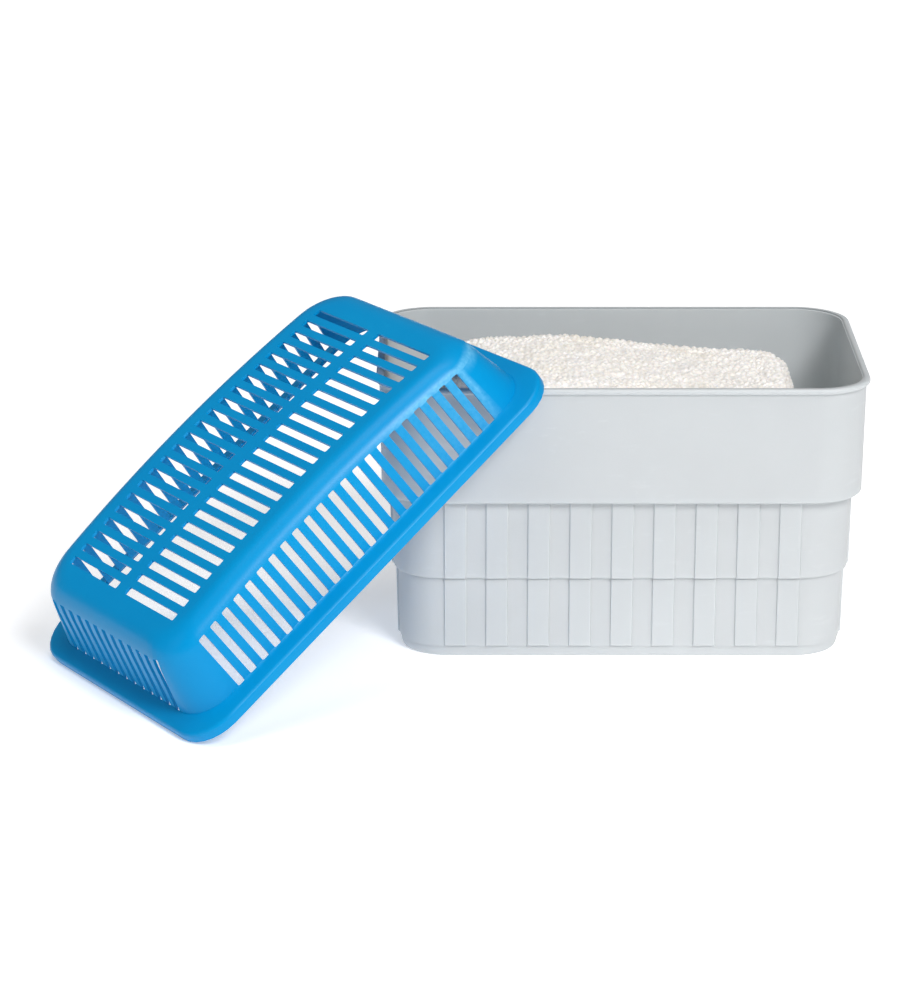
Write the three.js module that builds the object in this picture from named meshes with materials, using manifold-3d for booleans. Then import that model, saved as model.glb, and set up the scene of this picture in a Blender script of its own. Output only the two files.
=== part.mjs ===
// Cheese mold in two mouldings: a stepped whey tub and a slotted draining basket, which is turned upside
// down and leans on the tub's rim, and the block of curd that stands in the tub.
// Millimetres, +Z up. The origin is the centre of the tub's base, +X runs along the tub and -Y is its front.
import * as THREE from 'three';
import { mergeVertices } from 'three/addons/utils/BufferGeometryUtils.js';
import Module from 'manifold-3d';

const wasm = await Module();
wasm.setup();

// ---- Shared fits ----
const CLEARANCE = 0.4;               // free gap left between pieces that rest on each other
const CORNER_STEPS = 3;              // half the number of facets in each quarter-round corner
const FILLET_STEPS = 4;              // facets down each rounded edge

// ---- Whey tub: three tiers, each smaller than the one above ----
const TUB_LENGTH = 270;              // over the rim
const TUB_WIDTH = 175.4;             // over the rim
const TUB_HEIGHT = 157.5;
const UPPER_CORNER = 29;             // corner radius in plan, rim and top tier
const MIDDLE_CORNER = 26;            // the same on the middle tier
const LOWER_CORNER = 24;             // the same on the bottom tier
const TUB_WALL = 2.2;
const TUB_FLOOR = 2.6;
const RIM_PROUD = 1.8;               // rim bead, out from the top tier's wall
const RIM_DEPTH = 3.2;               // height of the bead
const RIM_LAND = 4.2;                // width of the flat top of the rim
const RIM_EDGE = 0.7;                // broken edge of the bead
const TIER_DRAFT = 0.85;             // each tier narrows by this from its top to its bottom
const UPPER_STEP = 5.6;              // overhang of the top tier over the middle one
const LOWER_STEP = 2.4;              // overhang of the middle tier over the bottom one
const STEP_ROUND = 1.6;              // rounded lower edge of a tier
const UPPER_STEP_HEIGHT = 91.8;      // underside of the top tier
const LOWER_STEP_HEIGHT = 46.6;      // underside of the middle tier
const FOOT_HEIGHT = 6.2;             // rounded edge between the walls and the base
const FOOT_INSET = 2.8;              // how far that edge draws in

// ---- Raised bands on the two lower tiers ----
const BAND_WIDTH = 11.5;
const BAND_PITCH = 22.95;
const BAND_PROUD = 1.0;
const BAND_ROOT = 1.0;               // how far a band's solid reaches into the wall behind it

// ---- Draining basket, in its own frame: middle of the floor at zero, opening downwards ----
const LIP_END_FIT = 2.9;             // lip beyond the tub's rim at each end, so that it can hook over it
const LIP_SIDE_FIT = 4.0;            // the same along each side
const BASKET_DEPTH = 54.3;           // middle of the floor to the lower edge of the lip
const BASKET_WALL = 1.6;
const LIP_CORNER = 22.9;             // corner radius of the lip in plan
const LIP_HEIGHT = 7.2;              // down-turned lip, from its lower edge to the top of the ledge
const LIP_ROUND = 1.5;               // rounded fold between the ledge and the lip
const LEDGE_WIDTH = 10.4;            // from the outside of the lip to the outside of the wall
const WALL_CORNER = 22;              // corner radius of the wall in plan
const WALL_DRAFT = 10;               // degrees: the wall leans in towards the floor
const FLOOR_FILLET = 13;             // rounded edge between wall and floor
const FLOOR_CROWN = 6.8;             // the floor bows outwards: its middle stands this far above its ends
const CROWN_STEPS = 8;               // facets along the crown

// ---- Slots ----
const SLOT_PITCH = 9.3;
const SLOT_WIDTH = 4.6;
const SLOT_MARGIN = 1;               // least distance from a row of slots to the wall's rounded corner
const FLOOR_BAR = 9.4;               // solid bar down the middle of the floor
const FLOOR_MARGIN = 16.6;           // from a floor slot's outer end to where wall and floor would meet
const SIDE_SLOT_TOP = 8.3;           // below the floor beside it
const END_SLOT_TOP = 15;             // below the middle of the floor
const SLOT_FOOT = 0.8;               // wall left between a slot's foot and the ledge

// ---- How the basket leans ----
const BASKET_TURN = 33.9;            // degrees from the tub's length, seen from above
const REST_FROM_END = 90;            // from the tub's end to the lip corner that hooks over its front rim
const REST_OVERHANG = 4.6;           // how far that corner stands out from the front rim

// ---- Curd block ----
const CURD_END_GAP = 22;             // curd to the bottom tier's inner wall, at each end
const CURD_SIDE_GAP = 12;            // the same along the front and the back
const CURD_BELOW_RIM = 9;            // top of the curd, below the tub's rim
const CURD_CORNER = 26;              // corner radius in plan
const CURD_ROUND = 11;               // rounded top edge
const CURD_CROWN = 1.5;              // rise of the top's middle

const radians = THREE.MathUtils.degToRad;
const tubHalfLength = TUB_LENGTH / 2;
const tubHalfWidth = TUB_WIDTH / 2;
const lipHalfLength = tubHalfLength + LIP_END_FIT;
const lipHalfWidth = tubHalfWidth + LIP_SIDE_FIT;

// A rounded rectangle as points at height z, counter-clockwise, inset from a half length and a half width.
// The two long sides are divided into equal steps.
function ring(halfLength, halfWidth, inset, corner, z, longSteps = 1) {
  const outline = new THREE.Path();
  const x = halfLength - inset - corner;
  const y = halfWidth - inset - corner;
  const quarter = (cx, cy, turn) =>
    outline.absarc(cx, cy, corner, turn * Math.PI / 2, (turn + 1) * Math.PI / 2);
  const side = (level, towards) => {
    for (let i = 1; i < longSteps; i += 1) outline.lineTo(towards * x * (2 * i / longSteps - 1), level);
  };
  quarter(x, y, 0);
  side(halfWidth - inset, -1);
  quarter(-x, y, 1);
  quarter(-x, -y, 2);
  side(inset - halfWidth, 1);
  quarter(x, -y, 3);
  return outline.getPoints(CORNER_STEPS).map((point) => new THREE.Vector3(point.x, point.y, z));
}

// A closed body skinned over rings of equal length. Each ring mirrors itself front to back, so the first and
// the last are closed by a ladder of strips that run straight across.
function skin(rings) {
  const count = rings[0].length;
  const points = rings.flat();
  const triangles = [];
  for (let level = 0; level + 1 < rings.length; level += 1) {
    for (let i = 0; i < count; i += 1) {
      const a = level * count + i;
      const b = level * count + (i + 1) % count;
      triangles.push(a, b, b + count, a, b + count, a + count);
    }
  }
  const last = (rings.length - 1) * count;
  for (let a = 0; a + 1 < count / 2; a += 1) {
    const [b, c, d] = [a + 1, count - 2 - a, count - 1 - a];
    triangles.push(a, c, b, a, d, c);
    triangles.push(last + a, last + b, last + c, last + a, last + c, last + d);
  }
  const geometry = new THREE.BufferGeometry().setFromPoints(points);
  geometry.setIndex(triangles);
  return geometry;
}

function toSolid(geometry) {
  const bare = geometry.clone();
  bare.deleteAttribute('normal');
  bare.deleteAttribute('uv');
  const merged = mergeVertices(bare, 1e-4);
  const mesh = new wasm.Mesh({
    numProp: 3,
    vertProperties: Float32Array.from(merged.attributes.position.array),
    triVerts: Uint32Array.from(merged.index.array),
  });
  return new wasm.Manifold(mesh);
}

function toGeometry(solid) {
  const mesh = solid.getMesh();
  const geometry = new THREE.BufferGeometry();
  geometry.setAttribute('position', new THREE.BufferAttribute(mesh.vertProperties, 3));
  geometry.setIndex(new THREE.BufferAttribute(mesh.triVerts, 1));
  geometry.computeVertexNormals();
  return geometry;
}

// A box between two corners.
function block(x0, x1, y0, y1, z0, z1) {
  const geometry = new THREE.BoxGeometry(x1 - x0, y1 - y0, z1 - z0);
  geometry.translate((x0 + x1) / 2, (y0 + y1) / 2, (z0 + z1) / 2);
  return toSolid(geometry);
}

// Centres of a row of equal pitch, balanced about zero.
function row(count, pitch) {
  return Array.from({ length: count }, (_, i) => (i - (count - 1) / 2) * pitch);
}

// Quarter turn as [out, down] pairs that go from [0, 0] to [radius, radius]: first outwards, then down.
function quarterRound(radius, steps) {
  return Array.from({ length: steps + 1 }, (_, i) => {
    const angle = (i / steps) * Math.PI / 2;
    return [radius * Math.sin(angle), radius * (1 - Math.cos(angle))];
  });
}

// ---- Tub ----

// The three tiers' outer walls: inset from the rim at the top of the tier, and corner radius in plan.
const upper = { inset: RIM_PROUD, corner: UPPER_CORNER };
const middle = { inset: upper.inset + TIER_DRAFT + UPPER_STEP, corner: MIDDLE_CORNER };
const lower = { inset: middle.inset + TIER_DRAFT + LOWER_STEP, corner: LOWER_CORNER };
const tubBottomInset = lower.inset + TIER_DRAFT;
const tubInnerHalfLength = tubHalfLength - tubBottomInset - TUB_WALL;
const tubInnerHalfWidth = tubHalfWidth - tubBottomInset - TUB_WALL;

function tubRing(inset, z, corner) {
  return ring(tubHalfLength, tubHalfWidth, inset, corner, z);
}

// One tier's outer wall, from its rounded lower edge up to the underside of what is above.
function tierWall({ inset, corner }, bottom, top) {
  const foot = inset + TIER_DRAFT;
  return [
    tubRing(foot + STEP_ROUND, bottom, corner),
    tubRing(foot + STEP_ROUND * 0.3, bottom + STEP_ROUND * 0.3, corner),
    tubRing(foot, bottom + STEP_ROUND, corner),
    tubRing(inset, top, corner),
  ];
}

// The rounded foot as [inset beyond the bottom tier's wall, height] pairs, from the base up.
function footCurve() {
  return quarterRound(1, FILLET_STEPS).map(([out, up]) => [FOOT_INSET * (1 - out), FOOT_HEIGHT * up]);
}

function tubOutside() {
  const foot = footCurve().map(([inset, up]) => tubRing(tubBottomInset + inset, up, LOWER_CORNER));
  const beadBottom = TUB_HEIGHT - RIM_DEPTH;
  return [
    ...foot,
    tubRing(lower.inset, LOWER_STEP_HEIGHT, LOWER_CORNER),
    ...tierWall(middle, LOWER_STEP_HEIGHT, UPPER_STEP_HEIGHT),
    ...tierWall(upper, UPPER_STEP_HEIGHT, beadBottom - RIM_EDGE),
    tubRing(RIM_EDGE, beadBottom, UPPER_CORNER),
    tubRing(0, beadBottom + RIM_EDGE, UPPER_CORNER),
    tubRing(0, TUB_HEIGHT - RIM_EDGE, UPPER_CORNER),
    tubRing(RIM_EDGE, TUB_HEIGHT, UPPER_CORNER),
  ];
}

function tubInside() {
  const wall = (inset, z, corner) => tubRing(inset + TUB_WALL, z, corner - TUB_WALL);
  const upperShelf = UPPER_STEP_HEIGHT + TUB_WALL;
  const lowerShelf = LOWER_STEP_HEIGHT + TUB_WALL;
  const foot = footCurve().map(([inset, up]) => wall(tubBottomInset + inset, TUB_FLOOR + up, LOWER_CORNER));
  return [
    tubRing(RIM_LAND - RIM_EDGE / 2, TUB_HEIGHT, UPPER_CORNER - TUB_WALL),
    tubRing(RIM_LAND, TUB_HEIGHT - RIM_EDGE / 2, UPPER_CORNER - TUB_WALL),
    wall(upper.inset + TIER_DRAFT, upperShelf + STEP_ROUND, UPPER_CORNER),
    wall(upper.inset + TIER_DRAFT + STEP_ROUND, upperShelf, UPPER_CORNER),
    wall(middle.inset, upperShelf, MIDDLE_CORNER),
    wall(middle.inset + TIER_DRAFT, lowerShelf, MIDDLE_CORNER),
    wall(lower.inset, lowerShelf, LOWER_CORNER),
    ...foot.reverse(),
  ];
}

// Centres of the bands that fit on the flat stretch of a face, which is the shortest on the bottom tier.
function bandRow(halfSpan) {
  const flat = halfSpan - tubBottomInset - LOWER_CORNER;
  return row(2 * Math.floor((flat - BAND_WIDTH / 2) / BAND_PITCH) + 1, BAND_PITCH);
}

// The bands of one tier, on its front and back faces and on its two ends.
function tierBands(inset, bottom, top) {
  const root = inset + TIER_DRAFT + BAND_ROOT;
  const proud = inset + TIER_DRAFT / 2 - BAND_PROUD;
  const span = (half, side) => (side > 0 ? [half - root, half - proud] : [proud - half, root - half]);
  const width = (centre) => [centre - BAND_WIDTH / 2, centre + BAND_WIDTH / 2];
  return [-1, 1].flatMap((side) => [
    ...bandRow(tubHalfLength).map((x) => block(...width(x), ...span(tubHalfWidth, side), bottom, top)),
    ...bandRow(tubHalfWidth).map((y) => block(...span(tubHalfLength, side), ...width(y), bottom, top)),
  ]);
}

function tub() {
  let body = toSolid(skin([...tubOutside(), ...tubInside()]));
  const bands = [
    ...tierBands(middle.inset, LOWER_STEP_HEIGHT + STEP_ROUND, UPPER_STEP_HEIGHT + TUB_WALL / 2),
    ...tierBands(lower.inset, FOOT_HEIGHT, LOWER_STEP_HEIGHT + TUB_WALL / 2),
  ];
  for (const band of bands) body = body.add(band);
  return toGeometry(body);
}

// ---- Draining basket, in its own frame ----

const ledgeTop = -(BASKET_DEPTH - LIP_HEIGHT);
const ledgeBottom = ledgeTop - BASKET_WALL;
const draft = Math.tan(radians(WALL_DRAFT));

// Height of the bowed floor at a distance x from its middle, where it is zero.
function crown(x) {
  return -FLOOR_CROWN * (x / (lipHalfLength - LEDGE_WIDTH - FLOOR_FILLET)) ** 2;
}

// A ring of the basket. The floor's bow fades out down the walls and is gone at the ledge.
function basketRing(inset, z, corner) {
  const points = ring(lipHalfLength, lipHalfWidth, inset, corner, z, CROWN_STEPS);
  const share = Math.max(0, 1 - z / ledgeBottom);
  for (const point of points) point.z += crown(point.x) * Math.min(1, share);
  return points;
}

// Wall and floor of the basket from the ledge up, for the outer face (wall 0) or the inner one.
function basketWall(wall, foot) {
  const floor = -wall;
  const fillet = FLOOR_FILLET - wall;
  const corner = WALL_CORNER - wall;
  const wallInset = (z) => LEDGE_WIDTH + wall + draft * (z - ledgeTop);
  const turn = Math.PI / 2 - radians(WALL_DRAFT);
  const centre = wallInset(floor - fillet) + fillet;
  const rounded = Array.from({ length: FILLET_STEPS + 1 }, (_, i) => {
    const angle = radians(WALL_DRAFT) + turn * (i / FILLET_STEPS);
    const inset = centre - fillet * Math.cos(angle);
    return basketRing(inset, floor - fillet * (1 - Math.sin(angle)), corner);
  });
  return [basketRing(wallInset(foot), foot, corner), ...rounded];
}

function basketShell() {
  const inner = basketWall(BASKET_WALL, ledgeBottom).reverse();
  const lipTop = ledgeTop - LIP_ROUND;
  return toSolid(skin([
    ...inner,
    basketRing(BASKET_WALL, ledgeBottom, LIP_CORNER - BASKET_WALL),
    basketRing(BASKET_WALL, -BASKET_DEPTH, LIP_CORNER - BASKET_WALL),
    basketRing(0, -BASKET_DEPTH, LIP_CORNER),
    basketRing(0, lipTop, LIP_CORNER),
    basketRing(LIP_ROUND * 0.3, ledgeTop - LIP_ROUND * 0.3, LIP_CORNER),
    basketRing(LIP_ROUND, ledgeTop, LIP_CORNER),
    ...basketWall(0, ledgeTop),
  ]));
}

// Centres of the slots that fit in the straight stretch of a wall.
function slotRow(lipHalf) {
  const straight = 2 * (lipHalf - LEDGE_WIDTH - WALL_CORNER - SLOT_MARGIN);
  return row(Math.floor((straight - SLOT_WIDTH) / SLOT_PITCH) + 1, SLOT_PITCH);
}

function slotCutters() {
  const foot = ledgeTop + SLOT_FOOT;
  const floorReach = 2 * BASKET_WALL;
  const floorEnd = lipHalfWidth - LEDGE_WIDTH + draft * ledgeTop - FLOOR_MARGIN;
  const wallReach = LEDGE_WIDTH + FLOOR_FILLET + BASKET_WALL;
  const width = (centre) => [centre - SLOT_WIDTH / 2, centre + SLOT_WIDTH / 2];
  const mirrored = (near, far, side) => (side > 0 ? [near, far] : [-far, -near]);
  return [-1, 1].flatMap((side) => [
    ...slotRow(lipHalfLength).flatMap((x) => [
      block(...width(x), ...mirrored(FLOOR_BAR / 2, floorEnd, side), crown(x) - floorReach, crown(x) + floorReach),
      block(...width(x), ...mirrored(lipHalfWidth - wallReach, lipHalfWidth, side), foot, crown(x) - SIDE_SLOT_TOP),
    ]),
    ...slotRow(lipHalfWidth).map((y) =>
      block(...mirrored(lipHalfLength - wallReach, lipHalfLength, side), ...width(y), foot, -END_SLOT_TOP)),
  ]);
}

function basket() {
  let body = basketShell();
  for (const cutter of slotCutters()) body = body.subtract(cutter);
  return toGeometry(body);
}

// Where the basket stands for a given tilt: the lower edge of its low end lies on the table, and the near
// corner of its lip hooks over the tub's front rim.
function basketPlace(tilt) {
  const turn = radians(BASKET_TURN);
  const along = new THREE.Vector3(Math.cos(tilt) * Math.cos(turn), Math.cos(tilt) * Math.sin(turn), Math.sin(tilt));
  const across = new THREE.Vector3(-Math.sin(turn), Math.cos(turn), 0);
  const out = new THREE.Vector3().crossVectors(along, across);
  const place = new THREE.Matrix4().makeBasis(along, across, out);
  const cornerCentre = LIP_CORNER - (LIP_CORNER - BASKET_WALL) * Math.SQRT1_2;
  const corner = new THREE.Vector3(lipHalfLength - cornerCentre, -(lipHalfWidth - cornerCentre), -BASKET_DEPTH);
  corner.applyMatrix4(place);
  const lowEdge = new THREE.Vector3(-lipHalfLength, 0, -BASKET_DEPTH).applyMatrix4(place);
  const cornerX = REST_FROM_END - tubHalfLength;
  const cornerY = -tubHalfWidth - REST_OVERHANG;
  place.setPosition(cornerX - corner.x, cornerY - corner.y, -lowEdge.z);
  return place;
}

// Lowest point of the basket's underside that lies over the land of the tub's rim.
function lowestOverRim(place) {
  const edges = [
    basketRing(BASKET_WALL, -BASKET_DEPTH, LIP_CORNER - BASKET_WALL),
    basketRing(LEDGE_WIDTH + BASKET_WALL, ledgeBottom, WALL_CORNER - BASKET_WALL),
  ];
  let lowest = Infinity;
  for (const edge of edges) {
    edge.forEach((start, i) => {
      const end = edge[(i + 1) % edge.length];
      const steps = Math.ceil(start.distanceTo(end) / 0.5);
      for (let step = 0; step < steps; step += 1) {
        const point = start.clone().lerp(end, step / steps).applyMatrix4(place);
        const beyond = Math.max(Math.abs(point.x) - tubHalfLength, Math.abs(point.y) - tubHalfWidth);
        if (beyond < CLEARANCE && beyond > -RIM_LAND) lowest = Math.min(lowest, point.z);
      }
    });
  }
  return lowest;
}

// The least tilt at which the basket's underside just clears the rim.
function restingTilt() {
  let low = radians(5);
  let high = radians(75);
  for (let i = 0; i < 40; i += 1) {
    const middle = (low + high) / 2;
    if (lowestOverRim(basketPlace(middle)) < TUB_HEIGHT + CLEARANCE) low = middle;
    else high = middle;
  }
  return high;
}

// ---- Curd block ----

function curd() {
  const halfLength = tubInnerHalfLength - CURD_END_GAP;
  const halfWidth = tubInnerHalfWidth - CURD_SIDE_GAP;
  const bottom = TUB_FLOOR + CLEARANCE;
  const shoulder = TUB_HEIGHT - CURD_BELOW_RIM - CURD_CROWN - CURD_ROUND;
  const curdRing = (inset, z) => ring(halfLength, halfWidth, inset, CURD_CORNER, z);
  const rounded = quarterRound(CURD_ROUND, FILLET_STEPS).reverse()
    .map(([out, up]) => curdRing(CURD_ROUND - out, shoulder + CURD_ROUND - up));
  const crown = curdRing(halfWidth / 2, TUB_HEIGHT - CURD_BELOW_RIM);
  return toGeometry(toSolid(skin([curdRing(0, bottom), ...rounded, crown])));
}

// ---- Assembly ----

function piece(name, geometry, color, roughness) {
  const mesh = new THREE.Mesh(geometry, new THREE.MeshStandardMaterial({ color, roughness, metalness: 0 }));
  mesh.name = name;
  return mesh;
}

const group = new THREE.Group();
group.add(piece('tub', tub(), 0xd6dbde, 0.5));

const drainingBasket = piece('draining_basket', basket(), 0x0d9bdc, 0.3);
drainingBasket.applyMatrix4(basketPlace(restingTilt()));
group.add(drainingBasket);

group.add(piece('curd_block', curd(), 0xefe9df, 0.85));

export default group;
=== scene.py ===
# %% [markdown]
# # A cheese mold: a whey tub, a draining basket and a block of curd
# The real mold is two plastic mouldings. The grey tub stands on its base and catches the whey, and the blue
# basket, full of slots, drains the curd. Here the basket is upside down and leans on the tub's rim.
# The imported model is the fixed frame: it says where each piece is and how large. This lesson builds the
# pieces that are seen, each as a surface worked out with whole arrays, and gives them their finishes.

# %% Load the frame
import math
import bpy
import numpy as np
from mathutils import Euler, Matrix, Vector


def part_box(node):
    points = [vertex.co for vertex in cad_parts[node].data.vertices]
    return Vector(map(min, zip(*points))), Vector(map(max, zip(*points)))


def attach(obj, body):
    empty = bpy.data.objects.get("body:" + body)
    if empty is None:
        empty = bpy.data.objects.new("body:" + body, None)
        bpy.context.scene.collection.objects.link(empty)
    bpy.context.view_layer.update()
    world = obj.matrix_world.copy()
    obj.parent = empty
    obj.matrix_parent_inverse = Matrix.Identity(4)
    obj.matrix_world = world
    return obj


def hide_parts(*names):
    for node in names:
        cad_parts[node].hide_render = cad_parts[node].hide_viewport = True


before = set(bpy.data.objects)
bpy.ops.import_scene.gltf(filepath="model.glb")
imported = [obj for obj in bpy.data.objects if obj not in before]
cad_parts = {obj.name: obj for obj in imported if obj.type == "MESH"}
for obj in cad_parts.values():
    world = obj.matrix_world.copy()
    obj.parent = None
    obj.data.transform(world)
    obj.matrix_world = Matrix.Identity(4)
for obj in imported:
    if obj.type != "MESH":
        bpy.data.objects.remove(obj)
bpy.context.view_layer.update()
MM = 0.001                       # the shapes are worked out in millimetres and stored in metres

# %% [markdown]
# ## One quarter of a rounded rectangle
# Every level of the tub, the basket and the curd is a rounded rectangle. It could be drawn as four lines and
# four arcs, but then each level needs its own list of points. Walking along the outline gives every point
# from one number, so a whole wall is one array of walks.

# %% Walk round a corner
def outline(walk, side, end, corner):
    """Point on a quarter of a rounded rectangle, after a walk from the middle of its long side.
    x is the walked part of the straight side plus corner * sin(turn); y is the straight end plus
    corner * cos(turn), less what is walked beyond the arc; turn is the walk past the side, over corner."""
    turn = np.clip((walk - side) / corner, 0, np.pi / 2)
    beyond = np.maximum(walk - side - corner * np.pi / 2, 0)
    return np.minimum(walk, side) + corner * np.sin(turn), end + corner * np.cos(turn) - beyond


def walk_to(across, straight, corner):
    """How far to walk to be `across` from the middle of a side: the same distance while the side is
    straight, then corner times the angle whose sine is the rest over corner."""
    rest = np.clip((across - straight) / corner, 0, 1)
    return np.minimum(across, straight) + corner * np.arcsin(rest)


def smooth(x):
    """Rises from 0 to 1 as x does, with level ends: 3 x squared less 2 x cubed."""
    x = np.clip(x, 0, 1)
    return x * x * (3 - 2 * x)


print("a walk of 30 round a 20 x 10 quarter with a corner of 4:", outline(30, 16, 6, 4))

# %% [markdown]
# ## Columns that go all the way round
# A wall is a grid: rows are levels, and columns go round the loop. The columns must run through the edges of
# the slots and bands, so each one is tied to a distance along a long side, a distance along a short side, or
# a share of the corner between them. One quarter is listed and the other three are its mirror images.
# The same columns carry on over the floor as a grid of lines, so wall and floor share their edge.

# %% Lay out the columns
ROOM_ALONG, ROOM_ACROSS, ROOM_STRETCH = 0.75, 0.62, 1.25


class Loop:
    """Columns round a rounded rectangle, and the grid of lines that closes it.
    along and across are the half lists of line distances on the long and the short sides, and each
    corner gets 2 * corner_steps - 1 more columns between the last of each."""

    def __init__(self, along, across, corner_steps):
        fractions = np.arange(1, 2 * corner_steps) / (2 * corner_steps)
        value = np.concatenate([along, fractions, across[::-1]])
        kind = np.repeat([0, 2, 1], [len(along), len(fractions), len(across)])
        self.last_along, self.last_across = along[-1], across[-1]
        self.value = np.concatenate([value, value[::-1]] * 2)
        self.kind = np.concatenate([kind, kind[::-1]] * 2)
        self.sign_x = np.repeat([1, 1, -1, -1], len(value))
        self.sign_y = np.repeat([1, -1, -1, 1], len(value))
        self.count = len(self.value)
        self.nu = 2 * (len(along) + corner_steps)
        self.nv = 2 * (len(across) + corner_steps)
        top, right = self.nv - 1, self.nu - 1
        i = [np.arange(self.nu // 2, self.nu), np.full(self.nv - 1, right), np.arange(right - 1, -1, -1),
             np.zeros(self.nv - 1, int), np.arange(1, self.nu // 2)]
        j = [np.full(self.nu // 2, top), np.arange(top - 1, -1, -1), np.zeros(self.nu - 1, int),
             np.arange(1, self.nv), np.full(self.nu // 2 - 1, top)]
        self.i, self.j = np.concatenate(i), np.concatenate(j)

    def points(self, side, end, corner, value=None, make_room=0.0):
        """x and y of every column on rings given by straight half side, straight half end and corner.
        make_room slides the columns beside each corner apart, by that many millimetres. It starts at the
        share ROOM_ALONG of the long side and ROOM_ACROSS of the short one, and is ROOM_STRETCH times as
        much on the short side."""
        value = self.value if value is None else value
        total = side + corner * np.pi / 2 + end
        part_along = smooth((value / self.last_along - ROOM_ALONG) / (1 - ROOM_ALONG))
        part_across = smooth((value / self.last_across - ROOM_ACROSS) / (1 - ROOM_ACROSS))
        on_side = walk_to(value, side, corner) - make_room * part_along
        on_end = total - walk_to(value, end, corner) + ROOM_STRETCH * make_room * part_across
        first = walk_to(self.last_along, side, corner) - make_room
        last = total - walk_to(self.last_across, end, corner) + ROOM_STRETCH * make_room
        in_corner = first + (last - first) * value
        walk = np.choose(self.kind, [on_side, on_end, in_corner])
        x, y = outline(walk, side, end, corner)
        return x * self.sign_x, y * self.sign_y


def wall_faces(rows, count):
    """Quads of a wall of rows x count vertices that closes on itself, facing away from the middle."""
    r, c = np.meshgrid(np.arange(rows - 1), np.arange(count), indexing="ij")
    near, far = r * count, (r + 1) * count
    after = (c + 1) % count
    return np.stack([near + c, far + c, far + after, near + after], axis=-1)


def grid_faces(index):
    """Quads of a grid of vertex numbers, facing up."""
    return np.stack([index[:-1, :-1], index[1:, :-1], index[1:, 1:], index[:-1, 1:]], axis=-1)


def coons(grid):
    """Fills a grid of points from its four edges: the two ways of drawing straight lines from edge to
    opposite edge are added, and the plain blend of the four corners is taken away."""
    s = np.linspace(0, 1, grid.shape[0])[:, None, None]
    t = np.linspace(0, 1, grid.shape[1])[None, :, None]
    one = (1 - s) * grid[:1] + s * grid[-1:]
    two = (1 - t) * grid[:, :1] + t * grid[:, -1:]
    corners = ((1 - s) * (1 - t) * grid[0, 0] + s * (1 - t) * grid[-1, 0]
               + (1 - s) * t * grid[0, -1] + s * t * grid[-1, -1])
    return one + two - corners


def new_piece(name, points, faces, *closing):
    """Puts millimetre points and quads into a smooth mesh object at the origin, in metres. Each closing
    array of vertex numbers adds one flat face of many sides."""
    mesh = bpy.data.meshes.new(name)
    polygons = faces.reshape(-1, 4).tolist() + [loop.tolist() for loop in closing]
    mesh.from_pydata((points * MM).tolist(), [], polygons)
    mesh.polygons.foreach_set("use_smooth", np.ones(len(mesh.polygons), bool))
    mesh.validate()
    piece = bpy.data.objects.new(name, mesh)
    bpy.context.scene.collection.objects.link(piece)
    print(f"{name}: {len(mesh.vertices)} vertices, {len(mesh.polygons)} faces")
    return piece


# %% [markdown]
# ## The whey tub
# The tub is one thin moulding in three tiers, each smaller than the one above, with a bead round its rim and
# flat raised bands on the two lower tiers. It could be a box with extruded faces, but the draft, the rounded
# steps and the bead would each need their own edits. As a section carried round the loop, it is a list of
# inset, height and corner radius from the foot, up the outside, over the rim and down the inside.

# %% The tub's sizes
tub_low, tub_high = (np.array(corner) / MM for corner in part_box("tub"))
TUB_HALF = (tub_high - tub_low)[:2] / 2
TUB_HEIGHT = tub_high[2]
TUB_WALL, TUB_FLOOR = 2.2, 2.6
UPPER = {"inset": 1.8, "corner": 29.0, "foot": 91.8}
MIDDLE = {"inset": 8.25, "corner": 26.0, "foot": 46.6}
LOWER = {"inset": 11.5, "corner": 24.0, "foot": 0.0}
TIER_DRAFT = 0.85
STEP_ROUND, STEP_HOLLOW = 1.6, 0.7
FOOT_HEIGHT, FOOT_INSET, FOOT_LINE = 6.2, 1.8, 0.6
BEAD_DEPTH, BEAD_ROUND = 3.2, 1.25
RIM_LAND, RIM_EASE = 4.2, 0.8
BAND_PITCH, BAND_HALF, BAND_PROUD, BAND_FLANK = 22.95, 5.7, 1.15, 0.55
print("tub half sizes", TUB_HALF, "height", TUB_HEIGHT)

# %% The tub's section
def turn(inset, height, radius, start, stop, steps, corner):
    """Points of a rounded edge: inset is the centre's less radius * cos, height the centre's plus
    radius * sin, with the angle in degrees going from start to stop."""
    angle = np.radians(np.linspace(start, stop, steps))
    rise = height + radius * np.sin(angle)
    return np.stack([inset - radius * np.cos(angle), rise, np.full(steps, corner)], axis=1)


def level(*rows):
    """Plain rows of the section, as inset, height and corner radius."""
    return np.array(rows, float)


def straight(start, stop, steps):
    """Rows between two plain rows, at equal steps, without the first and the last."""
    share = np.linspace(0, 1, steps + 2)[1:-1, None]
    return (1 - share) * np.array(start, float) + share * np.array(stop, float)


def foot(inset, base, corner):
    """The rounded foot, a quarter of an ellipse from the base up: it draws in by FOOT_INSET * (1 - cos) and
    stands FOOT_HEIGHT * (1 + sin) above the base, with the angle going from -90 to 0 degrees."""
    angle = np.radians(np.linspace(-90, 0, 8))
    rise = base + FOOT_HEIGHT * (1 + np.sin(angle))
    return np.stack([inset + FOOT_INSET * (1 - np.cos(angle)), rise, np.full(8, corner)], axis=1)


def tier_outside(tier, above_foot, top):
    """A tier's outer wall: rounded lower edge, then the drafted face up to the hollow under the next."""
    foot = tier["inset"] + TIER_DRAFT
    low = (foot, above_foot, tier["corner"])
    high = (tier["inset"], top - STEP_HOLLOW, tier["corner"])
    return np.concatenate([level(low), straight(low, high, 5), level(high)])


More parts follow.
